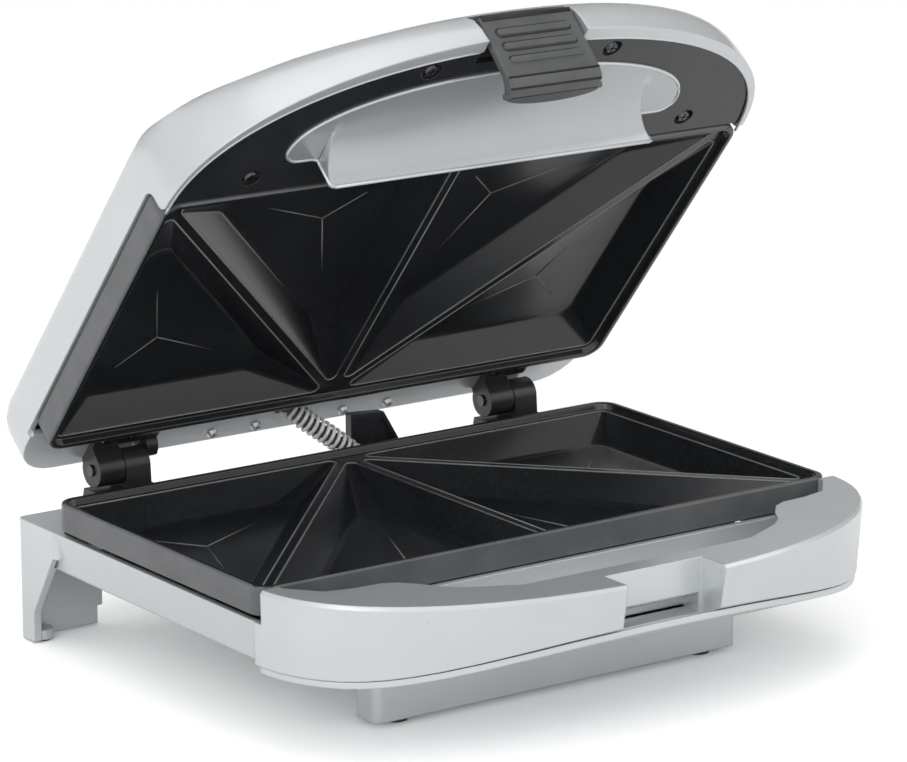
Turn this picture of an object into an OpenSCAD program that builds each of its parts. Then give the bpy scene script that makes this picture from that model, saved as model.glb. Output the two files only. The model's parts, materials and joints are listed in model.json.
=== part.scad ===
// Two-slice sandwich toaster with a hinged lid, as separate pieces.
// Units are millimetres. +Z is up, the front is -Y and the counter is z = 0.
// Lid pieces are written in the closed pose and turned open by lid_pose().

/* [Body] */
// Width of the lower tray across its top edge
body_w = 233; // [200:1:260]
// Height of the plane where the two plates meet, above the counter
rim_z = 54.5; // [48:0.5:66]
// How far the tray edge lies below that plane
tray_drop = 11.5; // [10.5:0.5:14]
// Height of the tray side, edge to underside
tray_h = 14.2; // [12:0.1:20]
// How far the tray reaches behind the plates
tray_back = 24; // [20:1:34]
// Side taper of the tray, edge to underside
tray_taper = 3.2; // [0:0.2:5]
// Plastic wall thickness
wall = 2.4; // [1.8:0.1:3.2]
// Gap left between closed lid and base
seam_gap = 0.4; // [0.2:0.1:1]
// Width of the front foot bar
foot_w = 148; // [110:1:180]
// Depth of the front foot bar
foot_d = 13; // [9:1:20]
// Width of each rear leg, side to side
leg_w = 31; // [20:1:40]

/* [Front band] */
// Reach of the bowed front band beyond the plates
front_reach = 65; // [50:1:80]
// Depth over which the band's plan curve runs
band_bow = 68; // [56:1:75]
// Squareness of the band's plan curve
band_sq = 2.17; // [2:0.01:2.6]
// How much the band's wall leans in towards its lower edge, in front
band_lean = 4.4; // [0:0.2:8]
// Length over which the band's underside sweeps up to the front
keel_run = 41; // [25:1:50]
// Rise of that sweep at the front
keel_rise = 10.3; // [4:0.1:12]
// Half width of the deep part of the trough
trough_hw = 69; // [50:1:80]
// Reach of the trough beyond the plates
trough_reach = 44; // [36:1:50]
// Depth of the trough
trough_deep = 16; // [14:0.5:20]

/* [Plates] */
// Width of each cooking plate
plate_w = 232; // [200:1:250]
// Depth of each cooking plate, front to back
plate_d = 128; // [110:1:140]
// Position of the plates' back edge along Y
plate_y = 76.25; // [70:0.25:82]
// Height of the plate skirt
skirt_h = 9.8; // [8:0.1:10.2]
// Height of the raised rim above the ridges
lip_h = 2.6; // [1.5:0.1:4]
// Depth of a pocket at its corners, below the rim
pocket_deep = 12; // [9:0.5:13]
// Extra depth where the three floor facets meet
pocket_dip = 1.8; // [0.5:0.1:2.5]
// Half width of the ridges between pockets
ridge_hw = 1.7; // [1.2:0.1:4]
// Plate metal thickness
plate_t = 2.2; // [1.6:0.1:3]

/* [Lid] */
// Height of the closed lid above the plate plane
lid_h = 30.6; // [30.4:0.1:45]
// Run of the curve from the lid's front edge to its top
nose_run = 109; // [60:1:120]
// Squareness of that curve, seen from the side
nose_sq = 3.38; // [2:0.01:4]
// Angle the lid stands open at rest, in degrees
lid_open = 50.2; // [30:0.1:75]
// Radius of the lid's side and rear shoulders
lid_shoulder = 10; // [6:0.5:15]
// Height of the lid's side edge above the plate plane
lid_edge = 10.6; // [10.2:0.1:12]
// Width of the grip wedge under the lid's front
grip_w = 128; // [90:1:134]
// How far the grip wedge stands below the plate plane
grip_drop = 10.8; // [6:0.2:12]

/* [Hinge] */
// Distance of the hinge axis behind the plates
hinge_back = 18.6; // [16:0.2:22]
// Height of the hinge axis above the plate plane
hinge_rise = 1.75; // [0:0.05:3]
// Radius of the hinge barrels
barrel_r = 6; // [5:0.1:6.4]
// Radius of the hinge pins
pin_r = 2; // [1.5:0.1:2.5]
// Left end of the left lid barrel along X
hinge_left_x = -90; // [-96:0.2:-84]
// Left end of the right lid barrel along X
hinge_right_x = 74; // [66:0.2:80]
// Length of each lid barrel
barrel_l = 10; // [9:0.2:14]
// Length of each base knuckle
knuckle_l = 9.6; // [8:0.2:12]
// Radial clearance of a turning pin in its bore
run_fit = 0.05; // [0.02:0.01:0.1]
// Radial clearance of a fixed pin or screw in its hole
seat_fit = 0.02; // [0:0.01:0.05]

/* [Latch] */
// Width of the latch
latch_w = 36.6; // [28:0.2:44]
// Side clearance of the latch in its notch
latch_side = 1.3; // [0.8:0.1:2]
// Height of the latch pin above the plate plane
latch_pin_up = 6.6; // [5:0.1:9]
// Radius of the latch pin
latch_pin_r = 1.5; // [1:0.1:2]

/* [Conduit] */
// Outside diameter of the coiled conduit
coil_d = 8.2; // [6:0.1:9]
// Wire diameter of the coiled conduit
wire_d = 1.2; // [0.8:0.05:1.4]
// Number of coil turns
coil_turns = 23; // [16:1:28]

/* [Heater] */
// Radius of the tubular heating elements
heat_r = 3.1; // [2.6:0.1:3.3]
// Height of the clear space for an element under its plate
heat_space = 6.6; // [6:0.1:8]

/* [Hidden] */
$fn = 48;
eps = 0.01;
half_gap = seam_gap / 2;
plate_front = plate_y - plate_d;
band_front = plate_front - front_reach;
band_hw = body_w / 2 + 0.5;
band_c = band_front + band_bow;
tray_z = rim_z - tray_drop;
floor_z = tray_z - tray_h;
back_y = plate_y + tray_back;
hinge_y = plate_y + hinge_back;
hinge_z = rim_z + hinge_rise;
lid_top = rim_z + lid_h;
deck_z = rim_z + 8.5;
cover_t = 2.2;
cover_z = floor_z - 0.3 - cover_t;
foot_z = 0.8;
pad_r = 4.2;
latch_y = band_front + 6.4;
latch_z = rim_z + latch_pin_up;
notch_hw = latch_w / 2 + latch_side;
catch_y = band_front + 13.2;
trough_y = plate_front - trough_reach;
well_deep = pocket_deep + pocket_dip + plate_t;
heat_z = well_deep + heat_space / 2;
sheet_z = well_deep + heat_space + 0.4;
sheet_t = 0.8;
guide_x = 17;
guide_y = plate_y + 10;
guide_in_x = -11;
guide_in_y = plate_y + 9;
cord_x = body_w / 2 - 56.5;
band_wide = -0.5;
foot_y = plate_front - 2;
lid_in = rim_z + half_gap + lid_h - wall;
cord_z = floor_z + 6.2;
cover_screw_at = [for (s = [-1, 1]) for (p = [[body_w / 2 - 13.5, plate_y + 7], [body_w / 2 - 18.5, plate_front - 22]]) [s * p[0], p[1]]];
trim_screw_at = [for (s = [-1, 1]) for (p = [[87.3, -8.2], [36, -51.3]]) [s * p[0], plate_front + p[1]]];
deck_screw_x = [-37.7, -19.7, 17.2, 36.3];
silver = [0.80, 0.81, 0.83];
dark = [0.16, 0.16, 0.17];
coat = [0.07, 0.07, 0.08];
steel = [0.72, 0.73, 0.75];

// ---- shared plan curves -------------------------------------------------
// Front half of a superellipse, right to left, with its widest line at yc.
function bow(a, b, n, yc, k = 40) = [
  for (i = [0:k])
    let (t = 180 * i / k, c = cos(t), s = sin(t))
      [a * sign(c) * pow(abs(c), 2 / n), yc - b * pow(abs(s), 2 / n)]
];

// Rear left and rear right corners of radius r, left first.
function rear(a, yb, r, k = 6) = concat(
  [for (i = [0:k]) let (t = 180 - 90 * i / k) [-a + r + r * cos(t), yb - r + r * sin(t)]],
  [for (i = [0:k]) let (t = 90 - 90 * i / k) [a - r + r * cos(t), yb - r + r * sin(t)]]
);

// Inset of the nose at height h above or below the plate plane.
function nose(h) = nose_run * (1 - sqrt(1 - pow(min(1, h / lid_h), nose_sq)));

// Height of the band's swept-up underside, s behind its front.
function keel(s) = floor_z + keel_rise * pow(max(0, keel_run - s) / (keel_run - 3.8), 2.2);

// Inset of the lid's shoulder at height h.
function shoulder(h) = h < lid_h - lid_shoulder ? 0 :
  lid_shoulder * (1 - sqrt(max(0, 1 - pow((h - lid_h + lid_shoulder) / lid_shoulder, 2))));

// Triangle abc drawn in by d on every side, as its three corners.
function tri_area(a, b, c) = abs((b[0] - a[0]) * (c[1] - a[1]) - (c[0] - a[0]) * (b[1] - a[1])) / 2;
function tri_mid(a, b, c) = let (p = norm(b - c), q = norm(c - a), r = norm(a - b))
  (p * a + q * b + r * c) / (p + q + r);
function tri_r(a, b, c) = 2 * tri_area(a, b, c) / (norm(b - c) + norm(c - a) + norm(a - b));
function tri_in(a, b, c, d) = let (m = tri_mid(a, b, c), k = 1 - d / tri_r(a, b, c))
  [m + (a - m) * k, m + (b - m) * k, m + (c - m) * k];

module rect(x0, x1, y0, y1, r = 0) {
  if (r > 0) {
    translate([x0 + r, y0 + r]) offset(r = r) square([x1 - x0 - 2 * r, y1 - y0 - 2 * r]);
  } else {
    translate([x0, y0]) square([x1 - x0, y1 - y0]);
  }
}

module slab(z0, z1) {
  translate([0, 0, z0]) linear_extrude(z1 - z0) children();
}

// Draws a (y, z) outline as a bar from x0 to x1.
module bar_x(x0, x1) {
  translate([x0, 0, 0]) rotate([90, 0, 90]) linear_extrude(x1 - x0) children();
}

module lid_pose() {
  translate([0, hinge_y, hinge_z]) rotate([-lid_open, 0, 0]) translate([0, -hinge_y, -hinge_z]) children();
}

// ---- base ---------------------------------------------------------------
// Outside of the front band, inset by g all round.
module band_form(g) {
  hull() {
    for (i = [[0, 0, 0.8], [1.2, 0, 0], [rim_z - half_gap - floor_z, 1, 0]]) {
      slab(rim_z - half_gap - i[0] - eps, rim_z - half_gap - i[0])
        polygon(concat(
          bow(band_hw + band_wide * i[1] - i[2] - g, band_bow - band_lean * i[1] - i[2] - g, band_sq, band_c),
          [[-band_hw - band_wide * i[1] + i[2] + g, plate_front + 3],
            [band_hw + band_wide * i[1] - i[2] - g, plate_front + 3]]));
    }
  }
}

// The (y, z) area of thickness t that lies d under the band's underside.
module keel_area(d, t) {
  up = [for (i = [0:10]) [band_front - 4 + (keel_run + 4) * i / 10, keel((keel_run + 4) * i / 10 - 4) - d]];
  polygon(concat(up, [[plate_front + 2, floor_z - d], [plate_front + 2, floor_z - d - t]],
    [for (i = [10:-1:0]) up[i] - [0, t]]));
}

module tray_form(g, z0, z1) {
  hull() {
    slab(z1 - eps, z1) rect(-body_w / 2 + g, body_w / 2 - g, plate_front - 3 + g, back_y - g, 9 - g);
    slab(z0, z0 + eps)
      rect(-body_w / 2 + tray_taper + g, body_w / 2 - tray_taper - g, plate_front - 3 + g,
        back_y - tray_taper / 2 - g, 8 - g);
  }
}

// Plan of the trough in the band's top, between plates and hand grip.
module trough_plan(g = 0) {
  w = plate_w / 2;
  t = trough_hw;
  y = trough_reach;
  half = [[w - 6.2, 12], [w - 6.2, -3], [w - 15, -13.6], [w - 24.6, -16], [t + 12.5, -16.6],
    [t + 7.5, 25 - y], [t + 1.9, 18.5 - y], [t - 1.9, 12.2 - y], [t - 6.5, 8.1 - y],
    [t - 23.5, -0.1 - y], [t - 46, -0.3 - y]];
  n = len(half) - 1;
  translate([0, plate_front]) offset(r = -2.5 + g) offset(r = 5) offset(r = -2.5)
    polygon(concat(half, [for (i = [n:-1:0]) [-half[i][0], half[i][1]]]));
}

module leg_left() {
  lx = -body_w / 2;
  difference() {
    union() {
      slab(foot_z, tray_z)
        difference() {
          rect(lx, lx + leg_w + 6, plate_y - 2, back_y, 2.5);
          rect(lx + 3, lx + leg_w + 8, plate_y - 4, back_y - 3, 1.2);
          rect(lx + leg_w, lx + leg_w + 8, plate_y - 4, back_y + 1);
        }
      translate([lx + 5, back_y - 5.4, foot_z]) cylinder(r = 4.2, h = 3.4);
    }
    slab(-1, foot_z + 6.4) rect(lx + leg_w - 2, lx + leg_w + 1, back_y - 9, back_y + 1);
    bar_x(lx - 1, lx + 4)
      polygon([[plate_y - 20, -1], [plate_y - 20, floor_z + 4.6], [plate_y + 0.8, floor_z + 4.6],
        [plate_y + 14.4, 11.2], [plate_y + 14.4, -1]]);
    bar_x(lx + 2, lx + leg_w + 9) rect(plate_y - 20, back_y - 3, floor_z + 0.5, tray_z + 1);
    translate([lx + 5, back_y - 5.4, foot_z - 1]) cylinder(r = 3 + seat_fit, h = 2.5);
  }
}

module base_housing() {
  color(silver)
  difference() {
    union() {
      difference() {
        tray_form(0, floor_z, tray_z);
        tray_form(wall, floor_z - 1, tray_z - wall);
        slab(tray_z - wall - 1, tray_z + 1)
          rect(-body_w / 2 + wall, body_w / 2 - wall, plate_front - 3 + wall, plate_y - 0.6, 4);
      }
      difference() {
        band_form(0);
        slab(floor_z - 1, rim_z + 1)
          rect(-body_w / 2 + wall + 1, body_w / 2 - wall - 1, plate_front - 3 + wall, plate_front + 9);
        slab(tray_z, rim_z + 1)
          rect(-plate_w / 2 - 1, plate_w / 2 + 1, plate_front - 1, plate_front + 9);
        intersection() {
          band_form(wall);
          slab(floor_z - 1, rim_z - half_gap - wall)
            rect(-body_w, body_w, band_front - 9, plate_front - 3 + wall);
        }
      }
      slab(rim_z - trough_deep - wall, rim_z - half_gap - 0.4)
        intersection() {
          trough_plan(wall);
          rect(-body_w / 2, body_w / 2, trough_y - 20, plate_front - 3 + wall);
        }
      bar_x(-notch_hw - wall, notch_hw + wall)
        polygon([[band_front + 3.4, rim_z - 1], [band_front + 4.4, rim_z - 16],
          [band_front + 11, rim_z - 20], [catch_y + 8, rim_z - 20], [catch_y + 8, rim_z - 1]]);
      leg_left();
      mirror([1, 0, 0]) leg_left();
      for (p = cover_screw_at) {
        slab(cover_z + cover_t, (p[1] > plate_front ? tray_z : rim_z - half_gap) - wall + 0.5)
          translate(p) circle(r = 4);
      }
    }
    slab(rim_z - trough_deep, rim_z + 1) difference() {
      trough_plan();
      rect(-body_w, body_w, plate_front - 3, plate_front + 40);
    }
    bar_x(-body_w, body_w) keel_area(0, 30);
    slab(tray_z + 1.6, rim_z + 1) intersection() {
      trough_plan();
      rect(-body_w, body_w, plate_front - 6, plate_front + 40);
    }
    bar_x(-notch_hw, notch_hw)
      polygon([[catch_y, rim_z + 1], [catch_y, rim_z - 24], [band_front - 9, rim_z - 24],
        [band_front - 9, rim_z + 1]]);
    bar_x(-notch_hw + 1.2, notch_hw - 1.2)
      polygon([[catch_y + 9, rim_z - 12.2], [catch_y + 9, rim_z - 18.8], [catch_y - 9, rim_z - 18.8],
        [catch_y - 9, rim_z - 12.2]]);
    for (p = cover_screw_at) {
      translate([p[0], p[1], cover_z + cover_t - 1]) cylinder(r = 1.4, h = 9);
    }
    translate([cord_x, back_y + 4, cord_z]) rotate([90, 0, 0]) cylinder(r = 5.2, h = 12);
    translate([cord_x, back_y + 4, cord_z]) rotate([90, 0, 0]) cylinder(r = 6.1 + seat_fit, h = 5.7);
    translate([guide_x, guide_y, tray_z - wall - 1]) cylinder(r = coil_d / 2 + 0.9, h = wall + 2);
    for (x = [hinge_left_x, hinge_right_x]) {
      for (d = [3, 16]) {
        translate([x + d, plate_y + 7.2, tray_z - wall - 1]) cylinder(r = 1.3 + seat_fit, h = wall + 2);
      }
    }
  }
}

module base_cover() {
  color(silver)
  difference() {
    union() {
      intersection() {
        bar_x(-body_w, body_w) keel_area(0.3, cover_t);
        slab(cover_z - 1, rim_z) offset(r = -0.8)
          polygon(concat(
            bow(band_hw + band_wide, band_bow - band_lean + 0.8, band_sq, band_c),
            [[-band_hw - band_wide, plate_front + 2], [band_hw + band_wide, plate_front + 2]]));
      }
      slab(cover_z, cover_z + cover_t)
        rect(-body_w / 2 + tray_taper + 4, body_w / 2 - tray_taper - 4, plate_front - 4, back_y - 7.2, 5);
      slab(foot_z + 1, cover_z + eps) rect(-foot_w / 2, foot_w / 2, foot_y, foot_y + foot_d, 3);
    }
    slab(foot_z + 5, cover_z + cover_t + 1)
      rect(-foot_w / 2 + wall, foot_w / 2 - wall, foot_y + wall, foot_y + foot_d - wall, 1);
    for (s = [-1, 1]) {
      translate([s * (foot_w / 2 - 12), foot_y + foot_d / 2, foot_z])
        cylinder(r = pad_r + seat_fit, h = 2.5);
      for (i = [0:5]) {
        slab(cover_z - 1, cover_z + cover_t + 1)
          rect(s * 50 - 15, s * 50 + 15, plate_y - 70 + i * 8, plate_y - 67.5 + i * 8);
      }
    }
    for (p = cover_screw_at) {
      translate([p[0], p[1], cover_z - 1]) cylinder(r = 1.4 + seat_fit, h = cover_t + 2);
    }
  }
}

module foot_pads() {
  color(dark)
  for (s = [-1, 1]) {
    translate([s * (foot_w / 2 - 12), foot_y + foot_d / 2, 0]) cylinder(r = pad_r, h = foot_z + 2.5);
    translate([s * (body_w / 2 - 5), back_y - 5.4, 0]) cylinder(r = 3, h = foot_z + 1.5);
  }
}

module cord_bush() {
  color(dark)
  translate([cord_x, back_y + 1.4, cord_z]) rotate([90, 0, 0])
    difference() {
      union() {
        cylinder(r = 6.1, h = 3.1 - seat_fit);
        cylinder(r = 5.2 - seat_fit, h = 7.4);
        translate([0, 0, 5.6]) cylinder(r = 5.5, h = 1.6);
      }
      translate([0, 0, -1]) cylinder(r = 3.4, h = 14);
      rotate_extrude() translate([6.1, 0]) circle(r = 1.2);
    }
}

module screw(r, l, hr) {
  difference() {
    union() {
      translate([0, 0, -l]) cylinder(r = r, h = l + eps);
      cylinder(r1 = hr, r2 = hr * 0.72, h = hr * 0.5);
    }
    translate([-hr * 0.7, -0.25, hr * 0.3]) cube([hr * 1.4, 0.5, hr]);
    translate([-0.25, -hr * 0.7, hr * 0.3]) cube([0.5, hr * 1.4, hr]);
  }
}

module cover_screws() {
  color(steel)
  for (p = cover_screw_at) {
    translate([p[0], p[1], cover_z]) mirror([0, 0, 1]) screw(1.4 - seat_fit, 9, 3);
  }
}

// ---- cooking plates -----------------------------------------------------
// One pocket over triangle abc, with stepped walls and a three-facet floor.
module pocket(a, b, c) {
  m = tri_mid(a, b, c);
  steps = [[0, 0, 2.4], [1, 2.6, 3], [5.4, pocket_deep - lip_h - 2.6, 5], [10.5, pocket_deep - lip_h, 7]];
  hull() {
    for (s = steps) {
      for (p = tri_in(a, b, c, ridge_hw + s[0] + s[2])) {
        translate([p[0], p[1], -lip_h - s[1] - (s[1] > 0 ? 0 : eps)])
          cylinder(r = s[2], h = s[1] > 0 ? eps : 1, $fn = 20);
      }
    }
    translate([m[0], m[1], -pocket_deep - pocket_dip]) cylinder(r = 0.4, h = 0.1, $fn = 12);
  }
}

// A plate with its back edge on y = 0, its rim on z = 0 and its pockets below.
// Its skirt stands on six pads of height pad.
module plate_body(pad) {
  hw = plate_w / 2 - 2.6;
  yb = -2.6;
  yf = -plate_d + 2.6;
  difference() {
    union() {
      slab(-lip_h - plate_t, 0) rect(-plate_w / 2, plate_w / 2, -plate_d, 0, 7);
      slab(-skirt_h, -lip_h) difference() {
        rect(-plate_w / 2, plate_w / 2, -plate_d, 0, 7);
        rect(-plate_w / 2 + 2, plate_w / 2 - 2, -plate_d + 2, -2, 5);
      }
      for (s = [-1, 1]) {
        for (y = [-22, -plate_d / 2, -plate_d + 22]) {
          slab(-skirt_h - pad + seat_fit, -skirt_h + 1)
            rect(s * (plate_w / 2 - 1) - 0.7, s * (plate_w / 2 - 1) + 0.7, y - 6, y + 6);
        }
        hull() {
          slab(-lip_h - 1.5, -lip_h - 0.5)
            rect(s * hw / 2 - hw / 2 + 1.6, s * hw / 2 + hw / 2 - 1.6, yf + 1, yb - 1, 5);
          slab(-well_deep, -well_deep + 0.1)
            rect(s * hw / 2 - hw / 2 + 7, s * hw / 2 + hw / 2 - 7, yf + 7, yb - 7, 8);
        }
      }
    }
    slab(-lip_h, 1) rect(-hw, hw, yf, yb, 5);
    for (s = [-1, 1]) {
      pocket([s * hw, yb], [s * hw, yf], [0, yb]);
      pocket([0, yb], [s * hw, yf], [0, yf]);
    }
  }
}

module lower_plate() {
  color(coat) translate([0, plate_y, rim_z - half_gap]) plate_body(tray_drop - half_gap - skirt_h);
}

module upper_plate() {
  color(coat) lid_pose() translate([0, plate_y, rim_z + half_gap]) mirror([0, 0, 1])
    plate_body(lid_edge - half_gap - skirt_h);
}

// Tubular element in the plate's own frame: a loop open at the back.
module element_body() {
  hx = plate_w / 2 - 30;
  y0 = -plate_d + 26;
  y1 = -24;
  r = 14;
  color(steel)
  translate([0, 0, -heat_z]) {
    translate([-hx + r, y0, 0]) rotate([0, 90, 0]) cylinder(r = heat_r, h = 2 * hx - 2 * r);
    for (s = [-1, 1]) {
      translate([s * hx, y0 + r, 0]) rotate([-90, 0, 0]) cylinder(r = heat_r, h = y1 - y0 - 2 * r);
      translate([s * (hx - r), y0 + r, 0]) mirror([s < 0 ? 1 : 0, 0, 0])
        rotate_extrude(angle = -90) translate([r, 0]) circle(r = heat_r);
      translate([s * (hx - r), y1 - r, 0]) mirror([s < 0 ? 1 : 0, 0, 0])
        rotate_extrude(angle = 90) translate([r, 0]) circle(r = heat_r);
      translate([s * 34, y1, 0]) rotate([0, s * 90, 0]) cylinder(r = heat_r, h = hx - r - 34);
      translate([s * 26, y1, 0]) rotate([0, s * 90, 0]) cylinder(r = heat_r - 0.6, h = 9);
      translate([s * 18, y1, 0]) rotate([0, s * 90, 0]) cylinder(r = 1.2, h = 9);
    }
  }
}

module lower_element() {
  translate([0, plate_y, rim_z - half_gap]) element_body();
}

module upper_element() {
  lid_pose() translate([0, plate_y, rim_z + half_gap]) mirror([0, 0, 1]) element_body();
}

// Straps that hold an element up against its plate.
module clamps_body() {
  hx = plate_w / 2 - 30;
  color(steel)
  for (s = [-1, 1]) {
    difference() {
      union() {
        translate([s * hx - 10, -plate_d / 2 - 6, -sheet_z + seat_fit]) cube([20, 12, 0.6]);
        for (d = [-10, 9]) {
          translate([s * hx + d, -plate_d / 2 - 6, -sheet_z + seat_fit])
            cube([1, 12, sheet_z - well_deep - 2 * seat_fit]);
        }
      }
      translate([s * (hx - 6), -plate_d / 2, -sheet_z - 1]) cylinder(r = 1.5 + seat_fit, h = 3);
    }
  }
}

module lower_clamps() {
  translate([0, plate_y, rim_z - half_gap]) clamps_body();
}

module upper_clamps() {
  lid_pose() translate([0, plate_y, rim_z + half_gap]) mirror([0, 0, 1]) clamps_body();
}

// Heat shield behind an element, folded up at its long edges.
module sheet_body() {
  color(steel)
  translate([0, 0, -sheet_z - sheet_t])
    difference() {
      union() {
        translate([-plate_w / 2 + 14, -plate_d + 12, 0]) cube([plate_w - 28, plate_d - 24, sheet_t]);
        for (y = [-plate_d + 12, -12 - sheet_t]) {
          translate([-plate_w / 2 + 14, y, 0]) cube([plate_w - 28, sheet_t, 5]);
        }
      }
      for (s = [-1, 1]) {
        translate([s * (plate_w / 2 - 36), -plate_d / 2, -1]) cylinder(r = 1.5 + seat_fit, h = 3);
        translate([s * 14 - 5, -30, -1]) cube([10, 10, 3]);
      }
    }
}

module lower_reflector() {
  translate([0, plate_y, rim_z - half_gap]) sheet_body();
}

module upper_reflector() {
  lid_pose() translate([0, plate_y, rim_z + half_gap]) mirror([0, 0, 1]) sheet_body();
}

// Screws through shield and strap into the plate's underside.
module plate_screws_body() {
  color(steel)
  for (s = [-1, 1]) {
    translate([s * (plate_w / 2 - 36), -plate_d / 2, -sheet_z - sheet_t]) {
      translate([0, 0, -1.4]) cylinder(r = 3, h = 1.4);
      cylinder(r = 1.5, h = sheet_z + sheet_t - well_deep);
    }
  }
}

module lower_plate_screws() {
  translate([0, plate_y, rim_z - half_gap]) plate_screws_body();
}

module upper_plate_screws() {
  lid_pose() translate([0, plate_y, rim_z + half_gap]) mirror([0, 0, 1]) plate_screws_body();
}

// ---- electrical pieces --------------------------------------------------
module thermostat() {
  color(steel)
  translate([40, plate_y - plate_d / 2, rim_z - half_gap - well_deep - seat_fit]) {
    translate([0, 0, -3]) cylinder(r = 8, h = 3);
    translate([-4, -9, -5.6]) cube([8, 18, 2.6]);
    for (s = [-1, 1]) {
      translate([-1.5, s * 11 - 3, -5]) cube([3, 6, 0.8]);
    }
  }
}

module thermal_fuse() {
  color(steel)
  lid_pose() translate([40, plate_y - plate_d / 2, rim_z + half_gap + well_deep + seat_fit]) {
    translate([-7, 0, 2.2]) rotate([0, 90, 0]) cylinder(r = 2.2, h = 14);
    for (s = [-1, 1]) {
      translate([s * 11 - 5, -0.7, 1.5]) cube([10, 1.4, 1.4]);
    }
  }
}

module terminal_block() {
  color([0.85, 0.84, 0.78])
  translate([cord_x + 6, back_y - 21, cover_z + cover_t + 0.02])
    difference() {
      cube([26, 10, 8]);
      for (i = [0:2]) {
        translate([4.6 + i * 8.4, 5, 3]) cylinder(r = 1.6, h = 6);
        translate([4.6 + i * 8.4, -1, 3]) rotate([-90, 0, 0]) cylinder(r = 1.3, h = 12);
      }
    }
}

// ---- hinge --------------------------------------------------------------
// Base bracket for the hinge whose lid barrel starts at x = u.
module base_hinge_body(u) {
  k = u + barrel_l + 0.4;
  e = k + knuckle_l;
  color(dark)
  difference() {
    union() {
      translate([k, hinge_y, hinge_z]) rotate([0, 90, 0]) cylinder(r = barrel_r, h = knuckle_l);
      bar_x(k, e) polygon([[hinge_y - barrel_r, hinge_z], [hinge_y - barrel_r - 1, tray_z],
        [hinge_y + barrel_r - 1.4, tray_z], [hinge_y + barrel_r, hinge_z]]);
      bar_x(u - 1.2, e + 2) polygon([[hinge_y - barrel_r - 1.6, tray_z],
        [hinge_y - barrel_r - 1, hinge_z - barrel_r - 0.7], [hinge_y + 3.4, hinge_z - barrel_r - 0.7],
        [hinge_y + barrel_r - 1, tray_z]]);
      slab(tray_z, tray_z + 2.2) rect(u - 1.2, e + 9, plate_y + 3.6, hinge_y - 4, 1.5);
      bar_x(e + 1.5, e + 9)
        polygon([[hinge_y - 6, tray_z], [hinge_y - 6, tray_z + 2.2], [hinge_y - 2, tray_z + 3.4],
          [hinge_y + 2, tray_z]]);
    }
    translate([u - 5, hinge_y, hinge_z]) rotate([0, 90, 0]) cylinder(r = pin_r + seat_fit, h = 40);
    for (d = [3, 16]) {
      translate([u + d, plate_y + 7.2, tray_z - 1]) cylinder(r = 1.3 + seat_fit, h = 5);
    }
  }
}

module base_hinge_left() {
  base_hinge_body(hinge_left_x);
}

module base_hinge_right() {
  base_hinge_body(hinge_right_x);
}

// Lid bracket with its barrel from x = u; arm adds a stop rib beside the knuckle.
module lid_hinge_body(u, arm) {
  k = u + barrel_l + 0.8 + knuckle_l + 1;
  color(dark)
  lid_pose()
  difference() {
    union() {
      translate([u, hinge_y, hinge_z]) rotate([0, 90, 0]) cylinder(r = barrel_r, h = barrel_l);
      bar_x(u, u + barrel_l)
        polygon([[hinge_y - barrel_r, hinge_z], [hinge_y - barrel_r - 1.5, deck_z],
        [hinge_y + 1.6, deck_z], [hinge_y + barrel_r - 2, hinge_z + 3.4], [hinge_y + barrel_r, hinge_z]]);
      slab(deck_z - 2.2, deck_z) rect(u, arm ? k + 4.5 : u + barrel_l + 8, plate_y + 4, hinge_y - 6.5, 1);
      if (arm) {
        bar_x(k, k + 4.5)
          polygon([[hinge_y - barrel_r - 1.5, deck_z], [hinge_y - barrel_r, deck_z - 3.6],
            [hinge_y - barrel_r + 2, deck_z - 5.4], [hinge_y - 2, deck_z - 6], [hinge_y, deck_z - 5],
            [hinge_y + 1.6, deck_z]]);
      }
    }
    translate([u - 1, hinge_y, hinge_z]) rotate([0, 90, 0]) cylinder(r = pin_r + run_fit, h = barrel_l + 2);
    for (d = [4, 15]) {
      translate([u + d, plate_y + 8, deck_z - 3]) cylinder(r = 1.3 + seat_fit, h = 4);
    }
  }
}

module lid_hinge_left() {
  lid_hinge_body(hinge_left_x, true);
}

module lid_hinge_right() {
  lid_hinge_body(hinge_right_x, false);
}

module hinge_pin_body(u, l) {
  color(steel)
  translate([u - 0.8, hinge_y, hinge_z]) rotate([0, 90, 0]) cylinder(r = pin_r, h = l);
}

module hinge_pin_left() {
  hinge_pin_body(hinge_left_x, barrel_l + knuckle_l + 1.6);
}

module hinge_pin_right() {
  hinge_pin_body(hinge_right_x, barrel_l + knuckle_l + 1.6);
}

module base_hinge_screws() {
  color(steel)
  for (u = [hinge_left_x, hinge_right_x]) {
    for (d = [3, 16]) {
      translate([u + d, plate_y + 7.2, tray_z + 2.2]) screw(1.3, 6, 2.4);
    }
  }
}

module lid_hinge_screws() {
  color(steel)
  lid_pose()
  for (u = [hinge_left_x, hinge_right_x]) {
    for (d = [4, 15]) {
      translate([u + d, plate_y + 8, deck_z - 2.2]) mirror([0, 0, 1]) screw(1.3, 5.4, 2.2);
    }
  }
}

// Dark guard that stands behind the coiled conduit.
module conduit_guard() {
  color(dark)
  translate([0, hinge_y + 0.6, 0]) rotate([90, 0, 0])
    difference() {
      linear_extrude(3.6)
        polygon([[guide_x - 2, tray_z], [guide_x - 2, rim_z + 6.2], [guide_x + 12, rim_z + 5.2],
          [guide_x + 18, rim_z - 5], [guide_x + 21, tray_z]]);
      translate([0, 0, 2.6]) linear_extrude(2)
        polygon([[guide_x + 5, tray_z + 3], [guide_x + 10, rim_z + 3], [guide_x + 11.4, rim_z + 3],
          [guide_x + 16, rim_z - 5], [guide_x + 18, tray_z + 3]]);
    }
}

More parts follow.
